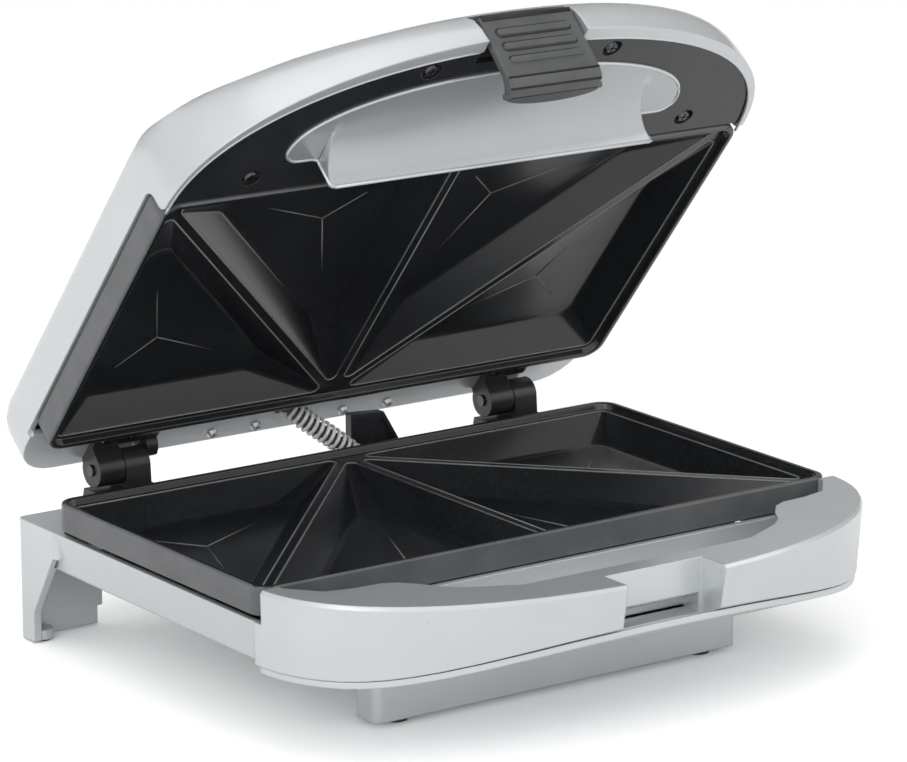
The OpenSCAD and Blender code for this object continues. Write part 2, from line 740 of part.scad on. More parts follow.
// ---- coiled conduit -----------------------------------------------------
// Centre line from the base deck up into the lid deck at the rest pose.
function turn_lid(p) = let (y = p[1] - hinge_y, z = p[2] - hinge_z)
  [p[0], hinge_y + y * cos(lid_open) + z * sin(lid_open), hinge_z - y * sin(lid_open) + z * cos(lid_open)];
guide_0 = [guide_x, guide_y, tray_z];
guide_3 = turn_lid([guide_in_x, guide_in_y, deck_z]);
guide_dir = turn_lid([guide_in_x, guide_in_y, deck_z - 1]) - guide_3;
guide_1 = guide_0 + [0, 0, 9];
guide_2 = guide_3 + guide_dir * 9;
function line_at(t) = pow(1 - t, 3) * guide_0 + 3 * t * pow(1 - t, 2) * guide_1
  + 3 * t * t * (1 - t) * guide_2 + t * t * t * guide_3;
function line_dir(t) = let (v = 3 * pow(1 - t, 2) * (guide_1 - guide_0)
  + 6 * t * (1 - t) * (guide_2 - guide_1) + 3 * t * t * (guide_3 - guide_2)) v / norm(v);
function side_1(t) = let (d = line_dir(t), v = cross(d, [0, 1, 0])) v / norm(v);
function side_2(t) = cross(line_dir(t), side_1(t));
coil_r = (coil_d - wire_d) / 2;
coil_steps = coil_turns * 8;
// The coil keeps this share of the line, the rest are its straight ends.
coil_lead = 0.045;
function coil_t(i) = coil_lead + (1 - 2 * coil_lead) * i / coil_steps;
function coil_at(i) = let (t = coil_t(i), a = 360 * i / 8)
  line_at(t) + coil_r * (cos(a) * side_1(t) + sin(a) * side_2(t));
coil_path = concat(
  [line_at(0) + coil_r * side_1(0)],
  [for (i = [0:coil_steps]) coil_at(i)],
  [line_at(1) + coil_r * side_1(1)]
);
coil_gap = min([for (i = [0:coil_steps - 8]) norm(coil_at(i + 8) - coil_at(i))]) - wire_d;
echo(coil_gap = coil_gap);

// Tube of radius r along points p, with n sides.
module tube(p, r, n) {
  m = len(p) - 1;
  d = [for (i = [0:m]) let (v = p[min(i + 1, m)] - p[max(i - 1, 0)]) v / norm(v)];
  u = [for (i = [0:m]) let (v = cross(d[i], abs(d[i][1]) < 0.9 ? [0, 1, 0] : [1, 0, 0])) v / norm(v)];
  w = [for (i = [0:m]) cross(d[i], u[i])];
  pts = [for (i = [0:m]) for (j = [0:n - 1]) p[i] + r * (cos(360 * j / n) * u[i] + sin(360 * j / n) * w[i])];
  polyhedron(pts, concat(
    [[for (j = [0:n - 1]) j]],
    [[for (j = [n - 1:-1:0]) m * n + j]],
    [for (i = [0:m - 1]) for (j = [0:n - 1])
      [i * n + j, (i + 1) * n + j, (i + 1) * n + (j + 1) % n, i * n + (j + 1) % n]]
  ));
}

module conduit_spring() {
  color(steel) tube(coil_path, wire_d / 2, 6);
}

module conduit_sleeve() {
  color([0.9, 0.9, 0.88])
    tube([for (i = [0:16]) line_at(i / 16)], coil_r - wire_d / 2 - 0.7, 12);
}

// ---- lid ----------------------------------------------------------------
// Plan at height h, inset by g: the bowed front flattens and squares off towards the top.
function lid_plan(h, g) = let (b = max(1, band_bow - 0.95 * nose(h)), a = band_hw - shoulder(h)) concat(
  bow(a - g, max(0.5, b - g), band_sq + 3.3 * pow(h / lid_h, 6), band_front + nose(h) + b),
  rear(a - g, back_y - 1.3 - shoulder(h) - g, 16 - g)
);

module lid_form(g) {
  hull() {
    for (i = [0:9]) {
      h = lid_h * sin(10 * i);
      z = rim_z + half_gap + h * (1 - g / lid_h);
      slab(z - (i == 9 ? eps : 0), z + (i == 9 ? 0 : eps)) polygon(lid_plan(min(lid_h - 0.2, h), g));
    }
  }
}

// Plan of the lid's inner front edge, round the dark trim.
module trim_plan(g) {
  polygon(bow(band_hw - 1.8 - g, band_bow - 5.4 - g, band_sq, band_c));
}

// Plan of the silver grip piece, measured from the plates' front edge.
module grip_plan(g = 0) {
  offset(r = -1.5 + g) offset(r = 3) offset(r = -1.5) union() {
    intersection() {
      polygon(bow(grip_w / 2 + 14.4, 33.4, 2.05, plate_front - 14));
      rect(-body_w, body_w, plate_front - 60, plate_front - 14);
    }
    rect(-grip_w / 2 - 0.6, grip_w / 2 + 0.6, plate_front - 30, plate_front - 12.2);
  }
}

// Space cleared under the lid's walls, which end higher beside the plate.
module lid_under() {
  bar_x(-body_w, body_w) offset(r = 4) offset(r = -7) offset(r = 3) union() {
    rect(plate_front + 2.4, back_y + 40, rim_z - 30, rim_z + lid_edge);
    rect(band_front - 40, back_y + 40, rim_z - 30, rim_z + half_gap - 0.05);
  }
}

module lid_housing() {
  color(silver)
  lid_pose()
  difference() {
    union() {
      difference() {
        lid_form(0);
        intersection() {
          lid_form(wall);
          slab(rim_z + 3.4, lid_top) square([2 * body_w, 4 * plate_d], center = true);
        }
        slab(rim_z - 1, rim_z + 3.5) trim_plan(0);
        difference() {
          lid_under();
          slab(deck_z, rim_z + 20) rect(-body_w, body_w, plate_y + 2, back_y + 50);
        }
      }
      slab(deck_z, deck_z + 2) intersection() {
        polygon(lid_plan(0, 1));
        rect(-body_w, body_w, plate_y + 0.6, back_y + 1);
      }
      intersection() {
        lid_form(0.8);
        union() {
          for (p = trim_screw_at) {
            translate([p[0], p[1], rim_z + 3.2 + seat_fit]) cylinder(r = 4, h = lid_h);
          }
          for (s = [-1, 1]) {
            bar_x(s * (notch_hw + 2) - 2, s * (notch_hw + 2) + 2)
              rect(latch_y - 5, latch_y + 6, latch_z - 3, latch_z + 14);
          }
        }
      }
    }
    bar_x(-notch_hw, notch_hw) polygon([[band_front - 10, rim_z - 2], [band_front - 10, latch_z + 7.6],
      [latch_y + 3.6, latch_z + 7.6], [latch_y + 5.4, rim_z - 2]]);
    translate([-notch_hw - 3.6, latch_y, latch_z]) rotate([0, 90, 0])
      cylinder(r = latch_pin_r + seat_fit, h = 2 * notch_hw + 7.2);
    for (p = trim_screw_at) {
      translate([p[0], p[1], rim_z + 2]) cylinder(r = 1.4, h = 9);
    }
    for (s = [-1, 1]) {
      translate([s * 12, plate_y - 70, lid_top - 6]) cylinder(r = 4 + seat_fit, h = 12);
    }
    for (x = deck_screw_x) {
      translate([x, back_y - 4.9, deck_z - 1]) cylinder(r = 1.3 + seat_fit, h = 4);
    }
    for (u = [hinge_left_x, hinge_right_x]) {
      for (d = [4, 15]) {
        translate([u + d, plate_y + 8, deck_z - 1]) cylinder(r = 1.3 + seat_fit, h = 4);
      }
    }
    translate([guide_in_x, guide_in_y, deck_z - 1]) cylinder(r = coil_d / 2 + 0.9, h = 4);
  }
}

module lid_trim() {
  color(dark)
  lid_pose()
  difference() {
    slab(rim_z + 1, rim_z + 3.2) difference() {
      trim_plan(seat_fit);
      rect(-body_w, body_w, plate_front - 0.6, plate_front + 40);
      rect(-notch_hw - 0.4, notch_hw + 0.4, band_front - 9, latch_y + 6);
      grip_plan(0.03);
    }
    for (p = trim_screw_at) {
      translate([p[0], p[1], rim_z]) cylinder(r = 1.4, h = 6);
      translate([p[0], p[1], rim_z]) cylinder(r = 3.6, h = 2.2);
    }
  }
}

module trim_screws() {
  color(steel)
  lid_pose()
  for (p = trim_screw_at) {
    translate([p[0], p[1], rim_z + 2.2]) mirror([0, 0, 1]) screw(1.38, 8, 2.7);
  }
}

// Level of the grip's scoop: k 0 at its rim, 1 at the wedge's straight edge.
module grip_level(k, z, t) {
  slab(z - t, z) intersection() {
    polygon(bow(grip_w / 2 + 12.4 - 12.4 * k, 31.4 - 29 * k, 2.05 + 3 * k, plate_front - 14 + 2 * k));
    rect(-grip_w / 2 - 9 + 9 * k, grip_w / 2 + 9 - 9 * k, plate_front - 60, plate_front - 15.2);
  }
  slab(z - t, z) rect(-grip_w / 2 + 0.2, grip_w / 2 - 0.2, plate_front - 15.6, plate_front - 12.4);
}

module lid_grip() {
  color(silver)
  lid_pose()
  difference() {
    union() {
      difference() {
        slab(rim_z + half_gap, rim_z + 3.2) grip_plan(0);
        slab(rim_z, rim_z + 1.2) grip_plan(-1.4);
      }
      hull() {
        grip_level(0.03, rim_z + 1.3, 0.1);
        grip_level(0.5, rim_z - 2.4, 0.1);
      }
      hull() {
        grip_level(0.5, rim_z - 2.3, 0.1);
        grip_level(0.98, rim_z - grip_drop + 0.2, 0.2);
      }
    }
    hull() {
      slab(rim_z + 2.4, rim_z + 4) rect(-grip_w / 2 + 4, grip_w / 2 - 4, plate_front - 26, plate_front - 15.6, 2);
      slab(rim_z + 0.4, rim_z + 0.6) rect(-grip_w / 2 + 5, grip_w / 2 - 5, plate_front - 22, plate_front - 15.6, 2);
    }
  }
}

module deck_screws() {
  color(steel)
  lid_pose()
  for (x = deck_screw_x) {
    translate([x, back_y - 4.9, deck_z]) mirror([0, 0, 1]) screw(1.3, 3.4, 2.2);
  }
}

module lens_body(x, tint) {
  color(tint)
  lid_pose() translate([x, plate_y - 70, lid_in]) {
    translate([0, 0, -1.6]) cylinder(r = 4, h = wall + 2);
    translate([0, 0, -1.6]) cylinder(r = 5.2, h = 1.6 - seat_fit);
  }
}

module power_lens() {
  lens_body(-12, [0.7, 0.1, 0.08]);
}

module ready_lens() {
  lens_body(12, [0.1, 0.6, 0.2]);
}

module lamp_carrier() {
  color([0.85, 0.84, 0.78])
  lid_pose() translate([0, plate_y - 70, rim_z + half_gap + sheet_z + sheet_t])
    difference() {
      translate([-20, -6, 0]) cube([40, 12, 2.6]);
      for (s = [-1, 1]) {
        translate([s * 12, 0, 1.4]) cylinder(r = 3.2, h = 4);
      }
    }
}

// ---- latch --------------------------------------------------------------
module latch() {
  hw = latch_w / 2;
  color(dark)
  lid_pose()
  difference() {
    intersection() {
      slab(rim_z - 30, rim_z + 30) offset(r = 2) offset(r = -2)
        polygon(concat(bow(hw, 2.6, 3, band_front + 3.6), [[-hw, band_front + 16], [hw, band_front + 16]]));
      union() {
      bar_x(-hw, hw) polygon([
        [band_front + 1.1, rim_z + 10.5], [band_front + 2.3, rim_z], [band_front + 3.6, rim_z - 11.5],
        [band_front + 5.4, rim_z - 14.5], [band_front + 8.4, rim_z - 16.9], [band_front + 12.6, rim_z - 17.7],
        [band_front + 12.6, rim_z - 15.9], [band_front + 9.4, rim_z - 14.9], [band_front + 7.4, rim_z - 13],
        [band_front + 6.1, rim_z - 10.5], [band_front + 4.8, rim_z + 0.6], [band_front + 4.2, rim_z + 10.5]
      ]);
      translate([-hw, latch_y, latch_z]) rotate([0, 90, 0]) cylinder(r = 3, h = 2 * hw);
      for (z = [3, -1.5, -6]) {
        bar_x(-13.2, 13.2) translate([band_front + 2.3 - z * 0.11, rim_z + z]) circle(r = 0.95, $fn = 24);
      }
      }
    }
    translate([-hw - 1, latch_y, latch_z]) rotate([0, 90, 0])
      cylinder(r = latch_pin_r + run_fit, h = 2 * hw + 2);
  }
}

module latch_pin() {
  color(steel)
  lid_pose() translate([-notch_hw - 3.4, latch_y, latch_z]) rotate([0, 90, 0])
    cylinder(r = latch_pin_r, h = 2 * notch_hw + 6.8);
}

// ---- pieces -------------------------------------------------------------
base_housing();
base_cover();
foot_pads();
cord_bush();
cover_screws();
lower_plate();
lower_element();
lower_clamps();
lower_reflector();
lower_plate_screws();
thermostat();
terminal_block();
base_hinge_left();
base_hinge_right();
hinge_pin_left();
hinge_pin_right();
base_hinge_screws();
conduit_guard();
conduit_spring();
conduit_sleeve();
lid_housing();
lid_trim();
trim_screws();
lid_grip();
upper_plate();
upper_element();
upper_clamps();
upper_reflector();
upper_plate_screws();
thermal_fuse();
lid_hinge_left();
lid_hinge_right();
lid_hinge_screws();
deck_screws();
power_lens();
ready_lens();
lamp_carrier();
latch();
latch_pin();
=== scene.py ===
"""Looks of an open sandwich toaster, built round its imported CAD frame."""
import json
import math

import bmesh
import bpy
from mathutils import Matrix, Vector


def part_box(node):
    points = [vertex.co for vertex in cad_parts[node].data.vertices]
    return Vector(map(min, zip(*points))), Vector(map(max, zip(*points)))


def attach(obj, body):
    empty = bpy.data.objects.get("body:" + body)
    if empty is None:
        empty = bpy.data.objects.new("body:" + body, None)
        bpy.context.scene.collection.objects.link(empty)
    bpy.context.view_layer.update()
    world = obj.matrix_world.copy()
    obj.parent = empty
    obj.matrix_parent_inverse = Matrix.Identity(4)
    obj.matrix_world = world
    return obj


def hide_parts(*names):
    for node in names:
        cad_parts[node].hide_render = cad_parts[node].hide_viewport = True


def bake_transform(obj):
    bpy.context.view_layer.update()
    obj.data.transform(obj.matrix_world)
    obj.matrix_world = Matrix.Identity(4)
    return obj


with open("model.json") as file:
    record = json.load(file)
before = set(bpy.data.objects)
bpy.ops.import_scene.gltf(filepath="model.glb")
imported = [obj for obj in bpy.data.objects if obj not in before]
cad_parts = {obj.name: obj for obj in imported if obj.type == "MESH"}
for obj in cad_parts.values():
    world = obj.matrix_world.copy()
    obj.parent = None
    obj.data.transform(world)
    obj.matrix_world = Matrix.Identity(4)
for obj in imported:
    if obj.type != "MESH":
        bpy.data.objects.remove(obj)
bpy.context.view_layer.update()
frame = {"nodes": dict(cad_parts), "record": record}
nodes = frame["nodes"]
MM = 0.001

# ---- camera ---------------------------------------------------------------
VIEW_AZ, VIEW_EL, VIEW_ROLL = -35.07, 14.23, -0.188
VIEW_DIST = 1.6745
VIEW_LENS = 187.5
plates_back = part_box("lower_plate")[1][1]
plates_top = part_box("lower_plate")[1][2] + 0.2 * MM
VIEW_TARGET = Vector((48.33 * MM, plates_back, plates_top + 16.68 * MM))


def make_camera():
    az, el, roll = (math.radians(a) for a in (VIEW_AZ, VIEW_EL, VIEW_ROLL))
    back = Vector((math.sin(az) * math.cos(el), -math.cos(az) * math.cos(el), math.sin(el)))
    right = Vector((math.cos(az), math.sin(az), 0))
    up = back.cross(right)
    right, up = (right * math.cos(roll) + up * math.sin(roll), up * math.cos(roll) - right * math.sin(roll))
    cam = bpy.data.objects.new("camera", bpy.data.cameras.new("camera"))
    bpy.context.scene.collection.objects.link(cam)
    cam.data.lens = VIEW_LENS
    cam.data.sensor_width = 36
    cam.data.clip_start, cam.data.clip_end = 0.05, 50
    turn = Matrix((right, up, back)).transposed().to_4x4()
    cam.matrix_world = Matrix.Translation(VIEW_TARGET + back * VIEW_DIST) @ turn
    bpy.context.scene.camera = cam


make_camera()
bpy.context.scene.view_settings.view_transform = "Standard"


# ---- materials ------------------------------------------------------------
def add_node(tree, kind, values=(), **props):
    """A new shader or geometry node with these input values and properties."""
    n = tree.nodes.new(kind)
    for k, v in props.items():
        setattr(n, k, v)
    for k, v in dict(values).items():
        n.inputs[k].default_value = v
    return n


class Mat:
    """A node material with short helpers for its procedural detail."""

    def __init__(self, name, color, rough, metal=0.0, **sockets):
        self.m = bpy.data.materials.new(name)
        self.m.use_nodes = True
        self.t = self.m.node_tree
        self.p = self.t.nodes["Principled BSDF"]
        self.p.inputs["Base Color"].default_value = (*color, 1)
        self.p.inputs["Roughness"].default_value = rough
        self.p.inputs["Metallic"].default_value = metal
        for k, v in sockets.items():
            self.p.inputs[k.replace("_", " ")].default_value = v
        self.where = add_node(self.t, "ShaderNodeTexCoord").outputs["Object"]
        self.normal = None

    def link(self, a, b):
        self.t.links.new(a, b)

    def noise(self, scale, detail, stretch=None):
        n = add_node(self.t, "ShaderNodeTexNoise", {"Scale": scale, "Detail": detail, "Roughness": 0.5})
        where = self.where
        if stretch:
            m = add_node(self.t, "ShaderNodeMapping", {"Scale": stretch})
            self.link(where, m.inputs["Vector"])
            where = m.outputs[0]
        self.link(where, n.inputs["Vector"])
        return n.outputs["Fac"]

    def ramp(self, fac, low, high, lo=0.0, hi=1.0):
        """Maps lo...hi of fac to low...high."""
        n = add_node(self.t, "ShaderNodeMapRange", {"From Min": lo, "From Max": hi, "To Min": low, "To Max": high})
        self.link(fac, n.inputs["Value"])
        return n.outputs["Result"]

    def blotches(self, fac, a, b):
        """Base colour between a and b."""
        n = add_node(self.t, "ShaderNodeMix", {"A": (*a, 1), "B": (*b, 1)}, data_type="RGBA")
        self.link(fac, n.inputs["Factor"])
        self.link(n.outputs["Result"], self.p.inputs["Base Color"])

    def rough(self, out):
        self.link(out, self.p.inputs["Roughness"])

    def soft_edges(self, radius):
        """Rounds the look of every hard edge by this radius."""
        n = add_node(self.t, "ShaderNodeBevel", {"Radius": radius}, samples=6)
        self.normal = n.outputs["Normal"]

    def bump(self, fac, strength):
        """Fine relief over the softened edges."""
        n = add_node(self.t, "ShaderNodeBump", {"Strength": strength, "Distance": 0.1 * MM})
        self.link(fac, n.inputs["Height"])
        self.link(self.normal, n.inputs["Normal"])
        self.link(n.outputs["Normal"], self.p.inputs["Normal"])


def silver_paint(name, color):
    m = Mat(name, color, 0.3, 0.5, Coat_Weight=0.5, Coat_Roughness=0.1)
    m.soft_edges(0.8 * MM)
    dark = tuple(c * 0.975 for c in color)
    m.blotches(m.ramp(m.noise(60, 4), 0, 1, 0.35, 0.65), dark, color)
    m.rough(m.ramp(m.noise(350, 2), 0.26, 0.33))
    m.bump(m.noise(2600, 2), 0.05)
    return m.m


def moulded(name, color, rough, grain=1800, bump=0.12):
    m = Mat(name, color, rough)
    m.soft_edges(0.4 * MM)
    light = tuple(min(1, c * 1.25 + 0.004) for c in color)
    m.blotches(m.ramp(m.noise(90, 4), 0, 1, 0.3, 0.7), color, light)
    m.rough(m.ramp(m.noise(240, 3), rough - 0.05, rough + 0.07))
    m.bump(m.noise(grain, 2), bump)
    return m.m


def nonstick(name):
    dark, light = (0.010, 0.011, 0.013), (0.016, 0.018, 0.020)
    m = Mat(name, light, 0.30, Specular_IOR_Level=0.5, Coat_Weight=0.3, Coat_Roughness=0.12)
    m.soft_edges(0.5 * MM)
    m.blotches(m.ramp(m.noise(700, 3), 0, 1, 0.42, 0.62), dark, light)
    m.rough(m.ramp(m.noise(40, 2), 0.23, 0.28))
    m.bump(m.noise(1500, 3), 0.07)
    return m.m


def metal(name, color, rough, stretch=(1, 1, 1), shine=1.0):
    m = Mat(name, color, rough, shine)
    dark = tuple(c * 0.86 for c in color)
    m.blotches(m.ramp(m.noise(240, 3, stretch), 0, 1, 0.3, 0.7), dark, color)
    m.rough(m.ramp(m.noise(500, 3, stretch), rough - 0.06, rough + 0.08))
    return m.m


MATS = {
    "silver_shell": silver_paint("silver_shell", (0.655, 0.68, 0.695)),
    # A darker copy of the silver paint for the grip: painted shade, since its cove faces down, away from the light.
    "silver_grip_painted_shade": silver_paint("silver_grip_painted_shade", (0.50, 0.515, 0.53)),
    # A lighter grey for thin lines on the plates: painted highlights along the pocket edges, floor creases and rim.
    "painted_highlight_lines": moulded("painted_highlight_lines", (0.19, 0.195, 0.20), 0.28, 1500, 0.02),
    # A lighter grey for the plates' outer skirt and rim edge, which are the same coating: a painted reflection of
    # the bright surroundings.
    "skirt_painted_reflection": moulded("skirt_painted_reflection", (0.095, 0.098, 0.102), 0.24, 1500, 0.04),
    "dark_trim": moulded("dark_trim", (0.016, 0.017, 0.019), 0.17, 1800, 0.03),
    "latch_plastic": moulded("latch_plastic", (0.075, 0.078, 0.080), 0.34, 1500, 0.05),
    "black_plastic": moulded("black_plastic", (0.006, 0.006, 0.007), 0.5, 1500, 0.02),
    "hinge_metal": moulded("hinge_metal", (0.020, 0.021, 0.022), 0.30, 900, 0.2),
    "nonstick": nonstick("nonstick"),
    "steel": metal("steel", (0.62, 0.63, 0.65), 0.3),
    "black_steel": metal("black_steel", (0.13, 0.13, 0.14), 0.35),
    "spring_steel": metal("spring_steel", (0.93, 0.93, 0.94), 0.35, shine=0.1),
    "sheet_metal": metal("sheet_metal", (0.72, 0.73, 0.75), 0.32, (1, 12, 1)),
    "element_steel": metal("element_steel", (0.30, 0.27, 0.25), 0.45),
    "rubber": moulded("rubber", (0.025, 0.025, 0.025), 0.7),
    "ivory_plastic": moulded("ivory_plastic", (0.72, 0.69, 0.60), 0.5),
    "lens_red": moulded("lens_red", (0.50, 0.03, 0.02), 0.15, 600, 0.03),
    "lens_green": moulded("lens_green", (0.04, 0.35, 0.09), 0.15, 600, 0.03),
    "sleeve": moulded("sleeve", (0.10, 0.10, 0.10), 0.8, 1200, 0.5),
}
slot_of = {s["node"]: s["material_slot"] for s in frame["record"]["subparts"]}


def clad(obj, mat):
    for i in range(max(1, len(obj.material_slots))):
        if i < len(obj.material_slots):
            obj.material_slots[i].link = "OBJECT"
            obj.material_slots[i].material = mat
        else:
            obj.data.materials.append(mat)


DARK_NODES = ("trim_screws", "hinge_pin_left", "hinge_pin_right", "lid_hinge_screws")
for name, obj in nodes.items():
    clad(obj, MATS["black_steel" if name in DARK_NODES else slot_of[name]])


# ---- smooth shading of the CAD pieces --------------------------------------
def smoothing_group(limit):
    """Joins the vertices of a CAD mesh and shades it smooth across edges flatter than limit degrees."""
    g = bpy.data.node_groups.new("smooth_%d" % limit, "GeometryNodeTree")
    g.interface.new_socket("Geometry", in_out="INPUT", socket_type="NodeSocketGeometry")
    g.interface.new_socket("Geometry", in_out="OUTPUT", socket_type="NodeSocketGeometry")
    first = add_node(g, "NodeGroupInput")
    last = add_node(g, "NodeGroupOutput")
    weld = add_node(g, "GeometryNodeMergeByDistance", {"Distance": 0.004 * MM})
    faces = add_node(g, "GeometryNodeSetShadeSmooth")
    edges = add_node(g, "GeometryNodeSetShadeSmooth", domain="EDGE")
    angle = add_node(g, "GeometryNodeInputMeshEdgeAngle")
    flat = add_node(g, "FunctionNodeCompare", {"B": math.radians(limit)}, operation="LESS_THAN")
    g.links.new(first.outputs[0], weld.inputs["Geometry"])
    g.links.new(weld.outputs["Geometry"], faces.inputs["Geometry"])
    g.links.new(faces.outputs["Geometry"], edges.inputs["Geometry"])
    g.links.new(angle.outputs["Unsigned Angle"], flat.inputs["A"])
    g.links.new(flat.outputs["Result"], edges.inputs["Shade Smooth"])
    g.links.new(edges.outputs["Geometry"], last.inputs[0])
    return g


SMOOTH = smoothing_group(28)
for name, obj in nodes.items():
    obj.modifiers.new("smooth", "NODES").node_group = SMOOTH
    if name in ("base_housing", "lid_housing", "base_cover", "lid_grip"):
        obj.modifiers.new("weighted", "WEIGHTED_NORMAL").keep_sharp = True

# ---- measures -----------------------------------------------------------------
# Millimetres in the row frame, as in the part's source. Pieces of the lid are written closed.
PLATE_Y, RIM, TRAY = 76.25, 54.5, 43.0
HINGE_Y, HINGE_Z, DECK = PLATE_Y + 18.6, RIM + 1.75, RIM + 8.5
OPEN = math.radians(50.2)
PLATE_W, PLATE_D, LIP = 232.0, 128.0, 2.6
PLATE_GAP = 0.2  # each plate's rim to the plane between the plates
PLATE_FRONT = PLATE_Y - PLATE_D
BAND_FRONT = PLATE_FRONT - 65.0
BAND_MID = BAND_FRONT + 68.0

pivot = Matrix.Translation((0, HINGE_Y * MM, HINGE_Z * MM))
LID_POSE = pivot @ Matrix.Rotation(-OPEN, 4, "X") @ pivot.inverted()
LOWER_PLATE = Matrix.Translation((0, PLATE_Y * MM, (RIM - PLATE_GAP) * MM))
UPPER_PLATE = (LID_POSE @ Matrix.Translation((0, PLATE_Y * MM, (RIM + PLATE_GAP) * MM))
               @ Matrix.Scale(-1, 4, (0, 0, 1)))


def turn_lid(p):
    """A point of the closed lid, in millimetres, turned to where it stands at rest."""
    y, z = p[1] - HINGE_Y, p[2] - HINGE_Z
    c, s = math.cos(OPEN), math.sin(OPEN)
    return Vector((p[0], HINGE_Y + y * c + z * s, HINGE_Z - y * s + z * c))


# ---- tools for the pieces made here -------------------------------------------
class Shell:
    """Faces built up from loops of points."""

    def __init__(self):
        self.v, self.f = [], []

    def loop(self, pts):
        k = len(self.v)
        self.v += [tuple(p) for p in pts]
        return list(range(k, k + len(pts)))

    def join(self, a, b):
        n = len(a)
        for i in range(n):
            self.f.append([a[i], a[(i + 1) % n], b[(i + 1) % n], b[i]])

    def cap(self, a, mid, flip=False):
        k = len(self.v)
        self.v.append(tuple(mid))
        for i in range(len(a)):
            q = [a[i], a[(i + 1) % len(a)], k]
            self.f.append(q[::-1] if flip else q)

    def tube(self, path, radius, sides, dirs=None):
        """A round rod along the path, closed at both ends; dirs says which way it runs at each point."""
        path = [Vector(p) for p in path]
        last = len(path) - 1
        dirs = dirs or [(path[min(i + 1, last)] - path[max(i - 1, 0)]).normalized() for i in range(last + 1)]
        turns = [2 * math.pi * j / sides for j in range(sides)]
        rings = []
        for p, d in zip(path, dirs):
            u = d.cross(Vector((0, 1, 0)) if abs(d.y) < 0.9 else Vector((1, 0, 0))).normalized()
            w = d.cross(u)
            rings.append(self.loop([p + (u * math.cos(a) + w * math.sin(a)) * radius for a in turns]))
        for a, b in zip(rings, rings[1:]):
            self.join(a, b)
        self.cap(rings[0], path[0], True)
        self.cap(rings[-1], path[-1])

    def box(self, x0, x1, y0, y1, z0, z1):
        a, b = (self.loop([(x0, y0, z), (x1, y0, z), (x1, y1, z), (x0, y1, z)]) for z in (z0, z1))
        self.f += [a[::-1], b]
        self.join(a, b)

    def mesh(self, name, mat):
        """The object, smooth all over and in metres."""
        me = bpy.data.meshes.new(name)
        me.from_pydata([tuple(v * MM for v in p) for p in self.v], [], self.f)
        obj = bpy.data.objects.new(name, me)
        bpy.context.scene.collection.objects.link(obj)
        me.materials.append(MATS[mat])
        me.shade_smooth()
        return obj


def sharpen(obj, degrees):
    """Marks edges steeper than this as sharp."""
    bm = bmesh.new()
    bm.from_mesh(obj.data)
    for e in bm.edges:
        e.smooth = not (len(e.link_faces) == 2 and e.calc_face_angle(0) > math.radians(degrees))
    bm.to_mesh(obj.data)
    bm.free()


def lid_piece(name, shell, mat, body, node=None, sharp=None):
    """A finished piece of the lid or the latch from a shell written closed."""
    obj = shell.mesh(name, mat)
    bm = bmesh.new()
    bm.from_mesh(obj.data)
    bmesh.ops.remove_doubles(bm, verts=bm.verts, dist=0.002 * MM)
    bmesh.ops.recalc_face_normals(bm, faces=bm.faces)
    bm.to_mesh(obj.data)
    bm.free()
    if sharp:
        sharpen(obj, sharp)
    obj.data.transform(LID_POSE)
    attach(obj, body)
    if node:
        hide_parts(node)


def rounded(pts, r, n):
    """Loop round the convex polygon pts, counter-clockwise, each corner an arc of radius r and n steps."""
    out = []
    m = len(pts)
    for i in range(m):
        a, b, c = (Vector(pts[(i + k - 1) % m]) for k in range(3))
        u, w = (b - a).normalized(), (c - b).normalized()
        n0, n1 = Vector((u.y, -u.x)), Vector((w.y, -w.x))
        t0 = math.atan2(n0.y, n0.x)
        turn = (math.atan2(n1.y, n1.x) - t0) % (2 * math.pi)
        for k in range(n + 1):
            t = t0 + turn * k / n
            out.append((b.x + r * math.cos(t), b.y + r * math.sin(t)))
    return out


def tri_inset(a, b, c, d):
    """The triangle with its sides moved in by d, and the centre they move towards."""
    a, b, c = Vector(a), Vector(b), Vector(c)
    p, q, r = (b - c).length, (c - a).length, (a - b).length
    m = (a * p + b * q + c * r) / (p + q + r)
    area = abs((b.x - a.x) * (c.y - a.y) - (c.x - a.x) * (b.y - a.y)) / 2
    k = 1 - d * (p + q + r) / (2 * area)
    return [m + (x - m) * k for x in (a, b, c)], m


# ---- cooking plates -----------------------------------------------------------
# Written with the back edge on y = 0 and the rim on z = 0; a placement turns them into the row frame.
POCKET_DEEP = -13.8
WALL_RUN = 10.4
RIDGE_HALF = 1.7
# How far in from the pocket's edge the wall is at each depth.
WALL = [(-0.5, 0.0), (-0.25, -0.03), (0.0, -0.16), (0.25, -0.42), (0.5, -0.75), (8.0, -8.35), (8.5, -8.8),
        (9.1, -9.12), (9.7, -9.3), (WALL_RUN, -9.42)]
# The skirt and the rim, from below: inset from the plate's edge, height and corner radius.
SKIRT = [(2.0, -4.6, 5.0), (2.0, -9.8, 5.0), (0.3, -9.8, 6.7), (0.0, -9.5, 7.0), (0.0, -0.9, 7.0), (0.1, -0.5, 6.9),
         (0.35, -0.15, 6.65), (0.8, 0.0, 6.2), (1.75, 0.0, 5.25), (2.1, -0.12, 4.9), (2.35, -0.45, 4.65),
         (2.6, -2.2, 4.4), (2.75, -2.5, 4.25), (3.05, -2.6, 3.95)]


def plate_loop(inset, z, r):
    x, y0, y1 = PLATE_W / 2 - inset - r, -PLATE_D + inset + r, -inset - r
    return [(px, py, z) for px, py in rounded([(-x, y0), (x, y0), (x, y1), (-x, y1)], r, 10)]


